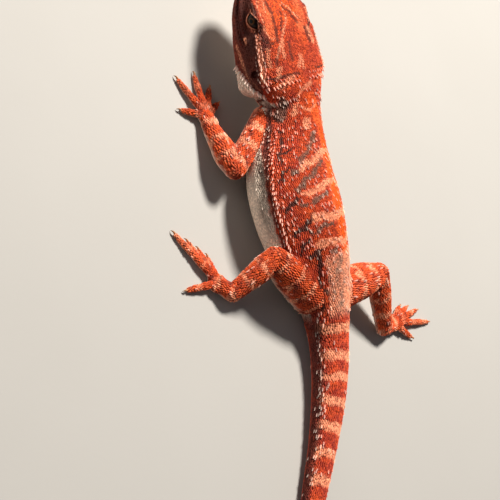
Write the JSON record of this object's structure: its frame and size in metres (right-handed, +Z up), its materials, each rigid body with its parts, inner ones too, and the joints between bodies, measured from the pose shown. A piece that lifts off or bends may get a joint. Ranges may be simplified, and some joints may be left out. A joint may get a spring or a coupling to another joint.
{
  "type": "bearded dragon",
  "caption": "Life-size still model of a young red bearded dragon lying at rest, head up and turned left, legs spread and tail in a gentle curve.",
  "frame": {"origin": "on the floor under the belly, on the flat that the trunk rests on", "axes": "+Y towards the head, +Z up, so the animal's left side is at -X"},
  "size_m": [0.1704, 0.3704, 0.0423],
  "materials": {
    "head_skin": "fine rough scales, orange red with pale ridges",
    "body_skin": "rough keeled scales, orange red with pale bars and grey blotches, cream belly",
    "tail_skin": "keeled scales in rings, red with pale pink bands",
    "limb_skin": "keeled scales, orange red with cream mottling",
    "eye": "wet gloss",
    "claw": "horn, satin"
  },
  "bodies": {
    "root": {"head": "head_skin", "left_eye": "eye", "right_eye": "eye", "neck": "body_skin", "torso": "body_skin", "hips": "body_skin", "tail_1": "tail_skin", "tail_2": "tail_skin", "tail_3": "tail_skin", "tail_4": "tail_skin", "left_upper_arm": "limb_skin", "left_forearm": "limb_skin", "left_hand": "limb_skin", "left_thigh": "limb_skin", "left_shin": "limb_skin", "left_foot": "limb_skin", "left_hand_claw_1": "claw", "left_hand_claw_2": "claw", "left_hand_claw_3": "claw", "left_hand_claw_4": "claw", "left_hand_claw_5": "claw", "left_foot_claw_1": "claw", "left_foot_claw_2": "claw", "left_foot_claw_3": "claw", "left_foot_claw_4": "claw", "left_foot_claw_5": "claw", "right_upper_arm": "limb_skin", "right_forearm": "limb_skin", "right_hand": "limb_skin", "right_thigh": "limb_skin", "right_shin": "limb_skin", "right_foot": "limb_skin", "right_hand_claw_1": "claw", "right_hand_claw_2": "claw", "right_hand_claw_3": "claw", "right_hand_claw_4": "claw", "right_hand_claw_5": "claw", "right_foot_claw_1": "claw", "right_foot_claw_2": "claw", "right_foot_claw_3": "claw", "right_foot_claw_4": "claw", "right_foot_claw_5": "claw"}
  },
  "joints": []
}
